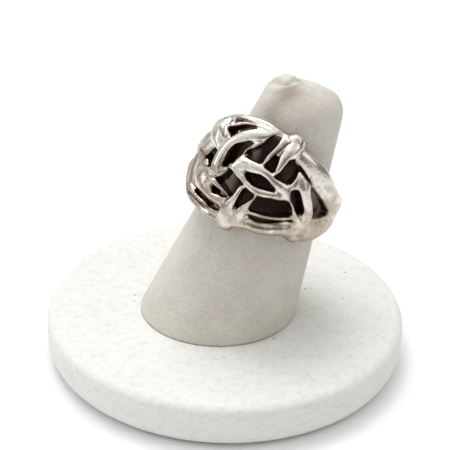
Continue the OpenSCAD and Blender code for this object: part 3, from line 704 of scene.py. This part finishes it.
def sectionPoint(turn, row, along):
    # A rounded top over straight sides that reach past the finger hole
    a = math.radians(row[0])
    radial = Vector((math.cos(a), math.sin(a), 0))
    across = along.cross(radial).normalized()
    middle = crownPoint(row)
    half = max(ring["leastHalf"], row[2] * ring["strandWidth"] / 2)
    depth = math.hypot(middle.x, middle.y) - ring["boreRadius"] + ring["insideSpare"]
    crown = min(2 * half * ring["crownShare"], depth / 2)
    c, s = math.cos(turn), math.sin(turn)
    if s >= -1e-6:
        sideways = math.copysign(abs(c) ** ring["crownSquare"], c)
        down = crown * (1 - max(0.0, s) ** ring["crownSquare"])
    else:
        sideways = math.copysign(min(1.0, abs(c) * ring["flank"]), c)
        down = crown + (depth - crown) * min(1.0, -s * ring["flank"])
    return middle + across * half * sideways - radial * down


def sweepStrand(bm, rows, points=20):
    # Draws one strand by extruding its end face from row to row
    line = curveThrough(rows, 4)
    crowns = [crownPoint(row) for row in line]
    start = bmesh.ops.create_circle(bm, cap_ends=True, segments=points, radius=1.0)["verts"]
    turnOf = bm.verts.layers.float["turn"]
    for v in start:
        v[turnOf] = math.atan2(v.co.y, v.co.x)
    end = start[0].link_faces[0]
    verts = start
    for i, row in enumerate(line):
        along = crowns[min(len(line) - 1, i + 1)] - crowns[max(0, i - 1)]
        if i:
            grown = bmesh.ops.extrude_face_region(bm, geom=[end])["geom"]
            verts = [g for g in grown if isinstance(g, bmesh.types.BMVert)]
            end = [g for g in grown if isinstance(g, bmesh.types.BMFace)][0]
        for v in verts:
            v.co = sectionPoint(v[turnOf], row, along)


def addKnob(bm, row):
    r = row[2] * ring["strandWidth"] / 2
    a = math.radians(row[0])
    radial = Vector((math.cos(a), math.sin(a), 0))
    top = crownPoint(row) - radial * r
    sunk = math.hypot(top.x, top.y) - ring["boreRadius"] + 0.2
    turned = radial.to_track_quat("Z", "Y").to_matrix().to_4x4()
    bmesh.ops.create_icosphere(bm, subdivisions=3, radius=r, matrix=Matrix.Translation(top))
    bmesh.ops.create_cone(
        bm, cap_ends=True, segments=32, radius1=r, radius2=r, depth=sunk,
        matrix=Matrix.Translation(top - radial * sunk / 2) @ turned)


def addSheet(bm):
    # A curved grid thickened down past the finger hole
    made = bmesh.ops.create_grid(bm, x_segments=96, y_segments=24, size=1.0)["verts"]
    faces = list({f for v in made for f in v.link_faces})
    for v in made:
        angle = 96 * v.co.x
        low, high = -valueAt(angle, sheetLow), valueAt(angle, sheetTop)
        across = low + (high - low) * (v.co.y + 1) / 2
        rim = smoothBetween(0.8, 1.0, abs(v.co.y))
        v.co = onRing(angle, across, formRadius(angle, across) - ring["sheetDrop"] * (1 + rim))
    sinkTo(bm, faces, ring["boreRadius"] - ring["insideSpare"])


def addBand(bm):
    end = ring["weaveEnd"]
    made = bmesh.ops.create_grid(bm, x_segments=80, y_segments=16, size=1.0)["verts"]
    faces = list({f for v in made for f in v.link_faces})
    for v in made:
        angle = 180 + (180 - end) * v.co.x
        angle = angle - 360 if angle > 180 else angle
        narrow = 1 - ring["waist"] * domeLeft(angle)
        crown = 1 - ring["bandRound"] * abs(v.co.y) ** 5
        out = ring["boreRadius"] + ring["backWall"] * crown + domeLeft(angle) * ring["domeRise"] / 2
        v.co = onRing(angle, v.co.y * narrow, out)
    sinkTo(bm, faces, ring["boreRadius"] - ring["insideSpare"])


def sinkTo(bm, faces, radius):
    grown = bmesh.ops.extrude_face_region(bm, geom=faces)["geom"]
    for v in grown:
        if isinstance(v, bmesh.types.BMVert):
            flat = math.hypot(v.co.x, v.co.y)
            v.co.x *= radius / flat
            v.co.y *= radius / flat


def addCutter(bm, outline):
    # A radial plug on a smoothed outline, from inside the finger hole to beyond the strands
    inside = ring["boreRadius"] - 2
    verts = [bm.verts.new(onRing(angle, across, inside)) for angle, across in outlineLine(outline)]
    plug = bm.faces.new(verts)
    outside = formRadius(0, 0) + 3 * ring["strandLift"]
    sinkTo(bm, [plug], outside)


def outlineLine(outline):
    count = len(outline)
    closed = [outline[-1], *outline, outline[0], outline[1]]
    return curveThrough(closed, 3)[3:3 + 3 * count]


def roundOver(piece, s):
    # Rolls the strands over into the openings: less height the nearer a place is to an opening's outline
    reach, thick = s["rollOver"], s["backWall"] + s["domeRise"] + s["strandLift"]
    spots, steps = [], 4
    for outline in openings.values():
        line = outlineLine(outline)
        for (a, p), (b, q) in zip(line, line[1:] + line[:1]):
            for i in range(steps):
                angle, across = a + (b - a) * i / steps, p + (q - p) * i / steps
                spots.append((angle * perDegree, across * halfHeight(angle), 0))
    near = KDTree(len(spots))
    for i, spot in enumerate(spots):
        near.insert(spot, i)
    near.balance()
    rolled = [0.0] * len(piece.data.vertices)
    edge = [0.0] * len(piece.data.vertices)
    # the thin sill gets no painted edge shade, so it stays bright up to its edges
    bright = [(row[0] * perDegree, row[1] * halfHeight(row[0])) for row in strands["sill"]]
    for v in piece.data.vertices:
        angle = math.degrees(math.atan2(v.co.y, v.co.x))
        distance = near.find((angle * perDegree, v.co.z, 0))[2]
        if abs(angle) > s["weaveEnd"]:
            continue
        edgeShade = smoothBetween(*s["sillClear"], distanceTo(angle * perDegree, v.co.z, bright))
        # painted shade along the edges of the openings
        edge[v.index] = edgeShade * (1 - smoothBetween(0.0, s["edgeReach"], distance))
        if distance >= reach:
            continue
        share = 1 - distance / reach
        rolled[v.index] = share
        kept = 1 - reach * (1 - math.sqrt(1 - share * share)) / thick
        flat = math.hypot(v.co.x, v.co.y)
        closer = (s["boreRadius"] + (flat - s["boreRadius"]) * kept) / flat
        v.co.x *= closer
        v.co.y *= closer
    writeMark(piece, "rolled", rolled)
    writeMark(piece, "edge", edge)


def cleanSolid(bm):
    bmesh.ops.triangulate(bm, faces=[f for f in bm.faces if len(f.verts) > 4])
    bmesh.ops.recalc_face_normals(bm, faces=bm.faces)


def seatRing(s, p):
    # The ring leans on the cone at both edges of its hole, a gap away from it
    slope = (p["footRadius"] - p["tipRadius"]) / p["length"]
    front, back = s["frontHeight"] / 2, s["backHeight"] / 2
    tip = math.radians(s["tip"])
    bore = 2 * s["boreRadius"]
    up = (
        (2 * s["seatGap"] + 2 * p["footRadius"] - bore * math.cos(tip) + (front + back) * math.sin(tip))
        / (2 * slope) - (front - back) * math.cos(tip) / 2)
    out = (
        (front - back) * math.sin(tip)
        - slope * (bore * math.sin(tip) + (front + back) * math.cos(tip))) / 2
    return (
        onPost @ Matrix.Rotation(math.radians(s["turn"]), 4, "Z")
        @ Matrix.Translation((out, s["side"], up)) @ Matrix.Rotation(-tip, 4, "Y"))


# Worn silver, from clean to the dark patina of its hollows, with painted shade in the hollows, on what faces
# down and along the openings' edges
silver = {
    "clean": (0.8, 0.765, 0.7), "warm": (0.47, 0.4, 0.325), "brown": (0.3, 0.22, 0.16),
    "dark": (0.22, 0.085, 0.062), "tan": (0.42, 0.33, 0.24), "edgeShade": (0.3, 0.24, 0.19),
    "seamed": (0.1, 0.06, 0.045), "roughness": 0.23,
    # how a hollow is felt for: the rays' length, number, turn from one to the next and start off the metal
    "reach": 2.6, "rays": 18, "rayTurn": 2.39996, "rayStart": 0.03, "spreadPasses": 2,
    # the warm tone on the two shanks, and the warm painted shade of what faces down and lies toward the
    # ring's lower edge, in degrees
    "facesDown": (-0.2, 0.9), "underMost": 0.7, "lowerEdge": (-4.5, 2.5),
    "nearShank": (45, 75), "farShank": (28, 46), "farMost": 1.6,
}


def silverMaterial(s):
    material, tree, shader = newMaterial("silverTarnishAndShade")
    join = tree.links.new
    place = objectPlace(tree)
    hollow = markOf(tree, "hollow")
    shank = markOf(tree, "shank")
    cloud = addNode(tree, "TexNoise", {"Scale": 0.6, "Detail": 5.0, "Roughness": 0.62})
    join(place, cloud.inputs["Vector"])
    cloudy = cloud.outputs["Fac"]
    rolled = markOf(tree, "rolled")
    under = markOf(tree, "under")
    # warmer with the tarnish clouds and on the shanks; the share from under is painted shade on what faces
    # down and on the lower edge
    lean = plusShare(tree, plusShare(tree, cloudy, shank, 0.14), under, 0.3)
    tarnishAndDownShade = ramp(tree, lean, [(0.5, (0,)), (0.82, (1,))])
    colour = mixColour(tree, tarnishAndDownShade, s["clean"], s["warm"])
    # painted shade along the openings' edges, broken up by the clouds
    patchy = ramp(tree, cloudy, [(0.35, (0.35,)), (0.6, (1,))])
    edgeShade = calc(tree, "MULTIPLY", markOf(tree, "edge"), patchy)
    colour = mixColour(tree, calc(tree, "MULTIPLY", edgeShade, 0.75), colour, s["edgeShade"])
    # brown that is partly patina in the hollows and partly painted shade in the hollows and on the rolled
    # edges of the openings
    grimeAndShade = plusShare(tree, calc(tree, "MULTIPLY", hollow, 1.6), rolled, 0.3)
    grimeAndShade = plusShare(tree, grimeAndShade, cloudy, 0.3)
    brown = ramp(tree, grimeAndShade, [(0.4, (0,)), (1.0, (1,))])
    colour = mixColour(tree, brown, colour, s["brown"])
    # near black in the deepest hollows and on the openings' walls: dark patina and painted shade
    sunk = ramp(tree, plusShare(tree, hollow, rolled, 0.06), [(0.32, (0,)), (0.62, (1,))])
    colour = mixColour(tree, sunk, colour, s["dark"])
    shader.inputs["Metallic"].default_value = 1.0
    pits = addNode(tree, "TexVoronoi", {"Scale": 2.6, "Randomness": 1.0}, feature="F1")
    join(place, pits.inputs["Vector"])
    pitMask = ramp(tree, pits.outputs["Distance"], [(0.1, (0,)), (0.24, (1,))])
    # dark specks gather in the pitted places, most of all where the clouds are heavy
    speck = ramp(tree, pits.outputs["Distance"], [(0.16, (1,)), (0.34, (0,))])
    holed = markOf(tree, "pitted")
    heavy = ramp(tree, plusShare(tree, cloudy, holed, 0.35), [(0.6, (0,)), (0.75, (1,))])
    stain = ramp(tree, calc(tree, "MULTIPLY", holed, cloudy), [(0.3, (0,)), (0.7, (0.6,))])
    colour = mixColour(tree, stain, colour, s["tan"])
    specked = calc(tree, "MULTIPLY", calc(tree, "MULTIPLY", speck, heavy), 0.85)
    colour = mixColour(tree, specked, colour, s["seamed"])
    colour = mixColour(tree, markOf(tree, "seam"), colour, s["seamed"])
    join(colour, shader.inputs["Base Color"])
    rough = plusShare(tree, calc(tree, "MULTIPLY", cloudy, 0.16), shank, 0.06)
    join(calc(tree, "ADD", rough, s["roughness"] - 0.08), shader.inputs["Roughness"])
    waves = addNode(tree, "TexNoise", {"Scale": 1.1, "Detail": 3.0, "Roughness": 0.5})
    join(place, waves.inputs["Vector"])
    height = plusShare(tree, calc(tree, "MULTIPLY", waves.outputs["Fac"], 1.6), pitMask, 0.5)
    relief = addNode(tree, "Bump", {"Strength": 0.35, "Distance": 0.0001})
    join(height, relief.inputs["Height"])
    join(relief.outputs["Normal"], shader.inputs["Normal"])
    return material


def markSurface(piece, s):
    # How far each place is shut in by the metal round it, faces down and lies on a shank; the shut-in and
    # facing-down marks carry painted shade
    mesh = piece.data
    tree = BVHTree.FromPolygons([v.co for v in mesh.vertices], [f.vertices for f in mesh.polygons])
    rays = []
    for i in range(s["rays"]):
        rise = math.sqrt((i + 0.5) / s["rays"])
        turn = i * s["rayTurn"]
        flat = math.sqrt(1 - rise * rise)
        rays.append(Vector((flat * math.cos(turn), flat * math.sin(turn), rise)))
    shut = []
    for v in mesh.vertices:
        turned = v.normal.to_track_quat("Z", "Y").to_matrix()
        start = v.co + v.normal * s["rayStart"]
        total = 0.0
        for ray in rays:
            distance = tree.ray_cast(start, turned @ ray, s["reach"])[3]
            if distance is not None:
                total += 1 - 0.5 * distance / s["reach"]
        shut.append(total / s["rays"])
    for i in range(s["spreadPasses"]):
        summed, count = shut[:], [1] * len(shut)
        for a, b in (edge.vertices for edge in mesh.edges):
            summed[a] += shut[b]
            summed[b] += shut[a]
            count[a] += 1
            count[b] += 1
        shut = [total / n for total, n in zip(summed, count)]
    writeMark(piece, "hollow", shut)
    # painted shade: what faces down and lies toward the ring's lower edge is marked for a warmer, darker
    # colour
    down = seatRing(ring, post).to_3x3().inverted() @ Vector((0, 0, -1))
    writeMark(piece, "under", [
        smoothBetween(*s["facesDown"], v.normal.dot(down))
        + s["underMost"] * (1 - smoothBetween(*s["lowerEdge"], v.co.z)) for v in mesh.vertices])
    turns = [math.degrees(math.atan2(v.co.y, v.co.x)) for v in mesh.vertices]
    writeMark(piece, "shank", [
        smoothBetween(*s["nearShank"], turn)
        + s["farMost"] * smoothBetween(*s["farShank"], -turn) for turn in turns])


def markSeams(piece, s):
    # Writes how dark each place is from the seams, grime and painted shade together, and how pitted it is
    lines = []
    for rows, wide, deep in seams.values():
        lines.append(([(a * perDegree, u * halfHeight(a)) for a, u in rows], wide, deep))
    spots = [(a * perDegree, u * halfHeight(a), reach) for a, u, reach in pitted]
    inside, end = s["boreRadius"] + s["skin"], s["seamEnd"] * perDegree
    count = len(piece.data.vertices)
    dark, rough = [0.0] * count, [0.0] * count
    for v in piece.data.vertices:
        x, y = math.degrees(math.atan2(v.co.y, v.co.x)) * perDegree, v.co.z
        if math.hypot(v.co.x, v.co.y) < inside or abs(x) > end:
            continue
        dark[v.index] = max(
            deep * math.exp(-(distanceTo(x, y, line) / wide) ** 2) for line, wide, deep in lines)
        rough[v.index] = max(
            math.exp(-((x - a) ** 2 + (y - b) ** 2) / reach ** 2) for a, b, reach in spots)
    writeMark(piece, "seam", dark)
    writeMark(piece, "pitted", rough)


def dropCrumbs(piece, s):
    # Takes off the loose bits and the faces without area that remeshing leaves
    bm = bmesh.new()
    bm.from_mesh(piece.data)
    bmesh.ops.dissolve_degenerate(bm, dist=s["weld"], edges=bm.edges)
    seen, crumbs = set(), []
    for start in bm.verts:
        if start in seen:
            continue
        island, front = {start}, [start]
        while front:
            v = front.pop()
            for other in (edge.other_vert(v) for edge in v.link_edges):
                if other not in island:
                    island.add(other)
                    front.append(other)
        seen |= island
        if len(island) < s["crumb"]:
            crumbs += island
    bmesh.ops.delete(bm, geom=crumbs, context="VERTS")
    bmesh.ops.triangulate(bm, faces=[face for face in bm.faces if len(face.verts) > 3])
    bm.to_mesh(piece.data)
    bm.free()
    print("crumbs dropped", len(crumbs))


def buildRing(s):
    bm = bmesh.new()
    bm.verts.layers.float.new("turn")
    for rows in strands.values():
        sweepStrand(bm, rows)
    for row in knobs:
        addKnob(bm, row)
    addSheet(bm)
    addBand(bm)
    cleanSolid(bm)
    piece = newObject("ringWeave", bm)
    cuts = bmesh.new()
    for outline in openings.values():
        addCutter(cuts, outline)
    cleanSolid(cuts)
    cutter = newObject("openingCutter", cuts)
    hole = bmesh.new()
    bmesh.ops.create_cone(
        hole, cap_ends=True, segments=160, radius1=s["boreRadius"], radius2=s["boreRadius"],
        depth=2 * s["frontHeight"])
    boring = newObject("fingerHole", hole)
    addModifier(piece, "REMESH", mode="VOXEL", voxel_size=s["grain"])
    addModifier(piece, "BOOLEAN", object=cutter, operation="DIFFERENCE", solver="MANIFOLD")
    addModifier(piece, "BOOLEAN", object=boring, operation="DIFFERENCE", solver="MANIFOLD")
    addModifier(piece, "REMESH", mode="VOXEL", voxel_size=s["grain"])
    addModifier(piece, "SMOOTH", factor=0.5, iterations=3)
    applyModifiers(piece)
    print("ring faces", len(piece.data.polygons))
    ratio = s["triangles"] / (2 * len(piece.data.polygons))
    if ratio < 1:
        addModifier(piece, "DECIMATE", ratio=ratio)
        applyModifiers(piece)
    dropCrumbs(piece, s)
    for helper in (cutter, boring):
        bpy.data.objects.remove(helper)
    roundOver(piece, s)
    markSurface(piece, silver)
    markSeams(piece, s)
    piece.data.transform(Matrix.Scale(mm, 4) @ seatRing(s, post))
    finishSurface(piece, silverMaterial(silver))
    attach(piece, "root")
    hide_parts("ring")
    print("ring built", len(piece.data.polygons))


buildRing(ring)

# Leaning post: a turned cone, cut by the base, with its cover pinched together at the tip
cover = {
    "light": (0.715, 0.685, 0.62), "shade": (0.66, 0.62, 0.56), "grain": 0.36, "roughness": 0.62, "bump": 0.6,
    "pebbleShade": 0.9, "turns": 240, "rings": 120, "tipRings": 28, "tipRound": 4.4,
    "footHeight": 0.35, "footInset": 0.14,
    # painted contact shadow: a thin dark line along the foot where it meets the base
    "footShadowColour": (0.16, 0.135, 0.11), "footShadowMost": 0.8,
    # places on the tip in the post's own frame: x, y, how far round them, how far they stand out
    "dents": [(-3.0, 1.3, 1.3, 0.6), (-0.6, 1.2, 1.2, -0.8), (3.6, -0.6, 1.8, 0.5)],
    # they begin this far below the top, and are full this far below it
    "dentDrops": (3.6, 2.0),
    # fold across the front of the tip, as x and y, with its width and depth and the lip beside it
    "fold": [(-4.6, 1.1), (-4.3, 0.2), (-3.9, -0.95), (-2.9, -1.0), (-1.7, 0.3), (-0.9, 1.2)],
    "foldWidth": 0.36, "foldDepth": 0.3, "lipShare": 0.8, "lipAway": 1.7,
    # brown smudge below the fold: x, y, radius, and how much flatter it is along y
    "smudge": (-3.3, -2.7, 1.9), "smudgeFlat": 1.5, "smudgeDrop": 5.0,
    "smudgeColour": (0.24, 0.16, 0.11), "smudgeMost": 0.75,
    # places under the ring where its painted shadow on the post is lighter, as the post shows through the
    # openings: degrees from its front, share across, degrees wide, how much; a whole share across counts as
    # so many degrees
    "shadowGaps": [(-27, -.36, 21, .9), (-7, .38, 11, .75), (75, .2, 20, 1.0), (34, .4, 10, .2)],
    "acrossDegrees": 45,
    # the ring's painted shadow on the post: its colour and how dark it gets at most
    "ringShadowColour": (0.045, 0.022, 0.014), "ringShadowMost": 0.98,
}


def ringShadowShare(place, s):
    # How dark the ring's painted shadow on the post is here, in the ring's own frame
    angle = math.degrees(math.atan2(place.y, place.x))
    across = place.z / halfHeight(angle)
    shown = (1 - smoothBetween(0.8, 0.95, abs(across))) * (1 - smoothBetween(80, 100, abs(angle)))
    # the painted shadow is lighter where the post shows through the openings
    clean = max(
        most * (1 - smoothBetween(0.45, 1.0, math.hypot(angle - a, s["acrossDegrees"] * (across - u)) / wide))
        for a, u, wide, most in s["shadowGaps"])
    return shown * s["ringShadowMost"] * (1 - clean)


def tipOut(x, y, s):
    # How far the cover stands out or sinks at a place on the tip
    out = sum(
        rise * math.exp(-((x - a) ** 2 + (y - b) ** 2) / reach ** 2) for a, b, reach, rise in s["dents"])
    away = distanceTo(x, y, s["fold"]) / s["foldWidth"]
    lip = s["lipShare"] * s["foldDepth"] * math.exp(-(away - s["lipAway"]) ** 2)
    return out - s["foldDepth"] * math.exp(-away * away) + lip


def coverMaterial(s):
    material, tree, shader = leatherMaterial("postLeatherette", s)
    colour = shader.inputs["Base Color"].links[0].from_socket
    # the ring's painted shadow and the painted shadow line at the foot are mixed in with the brown smudge
    marks = {"smudge": s["smudgeColour"], "ringShadow": s["ringShadowColour"], "footShadow": s["footShadowColour"]}
    for name, darker in marks.items():
        colour = mixColour(tree, markOf(tree, name), colour, darker)
    tree.links.new(colour, shader.inputs["Base Color"])
    return material


def buildPost(p, s):
    buried, count, rounded = p["buried"], s["rings"], s["tipRound"]
    # the cone runs straight from its buried end to the edge of its tip
    buriedRadius = p["footRadius"] + (p["footRadius"] - p["tipRadius"]) / p["length"] * buried
    slope = (buriedRadius - p["tipRadius"]) / (p["length"] - p["tipEdge"] + buried)
    # the rounding of the tip starts where it touches the cone
    start = math.atan(slope)
    middle = p["tipRadius"] + slope * (rounded - p["tipEdge"]) - rounded / math.cos(start)
    low = p["length"] - rounded + rounded * math.sin(start)
    profile = [(0, -buried)]
    for step in range(count):
        z = -buried + (low + buried) * step / count
        profile.append((buriedRadius - slope * (z + buried), z))
    for step in range(s["tipRings"] + 1):
        a = start + (math.pi / 2 - start) * step / s["tipRings"]
        profile.append((middle + rounded * math.cos(a), p["length"] - rounded + rounded * math.sin(a)))
    profile += [(middle * (1 - f / 6), p["length"]) for f in range(1, 7)]
    bm = profileSpin(profile, s["turns"])
    bm.normal_update()
    dentFrom, dentFull = (p["length"] - drop for drop in s["dentDrops"])
    for v in bm.verts:
        if v.co.z > dentFrom:
            v.co += v.normal * tipOut(v.co.x, v.co.y, s) * smoothBetween(dentFrom, dentFull, v.co.z)
    smudgeX, smudgeY, smudgeWide = s["smudge"]
    smudgeLayer = bm.verts.layers.float.new("smudge")
    for v in bm.verts:
        if v.co.z > p["length"] - s["smudgeDrop"]:
            away = math.hypot(v.co.x - smudgeX, s["smudgeFlat"] * (v.co.y - smudgeY)) / smudgeWide
            v[smudgeLayer] = s["smudgeMost"] * math.exp(-away * away)
    bmesh.ops.transform(bm, matrix=onPost, verts=bm.verts)
    cut = bmesh.ops.bisect_plane(
        bm, geom=bm.verts[:] + bm.edges[:] + bm.faces[:], dist=0.0001,
        plane_co=(0, 0, p["standsAt"]), plane_no=(0, 0, 1), clear_inner=True)
    rimEdges = [g for g in cut["geom_cut"] if isinstance(g, bmesh.types.BMEdge)]
    bmesh.ops.contextual_create(bm, geom=rimEdges)
    foot = Vector((*p["foot"], p["standsAt"]))
    for v in bm.verts:
        # the cover turns in under itself just above the base
        low = 1 - smoothBetween(0, s["footHeight"], v.co.z - p["standsAt"])
        flat = Vector((v.co.x - foot.x, v.co.y - foot.y, 0))
        if low > 0 and flat.length > 5:
            v.co -= flat.normalized() * s["footInset"] * low
    bmesh.ops.recalc_face_normals(bm, faces=bm.faces)
    # painted contact shadow along the foot
    footShadow = bm.verts.layers.float.new("footShadow")
    for v in bm.verts:
        v[footShadow] = s["footShadowMost"] * (1 - smoothBetween(0.02, 0.2, v.co.z - p["standsAt"]))
    # painted shadow of the ring on the post under it
    toRing = seatRing(ring, p).inverted()
    ringShadowLayer = bm.verts.layers.float.new("ringShadow")
    for v in bm.verts:
        v[ringShadowLayer] = ringShadowShare(toRing @ v.co, s)
    bmesh.ops.transform(bm, matrix=Matrix.Scale(mm, 4), verts=bm.verts)
    piece = newObject("postCover", bm)
    finishSurface(piece, coverMaterial(s))
    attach(piece, "root")
    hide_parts("post")
    print("post built")


buildPost(post, cover)
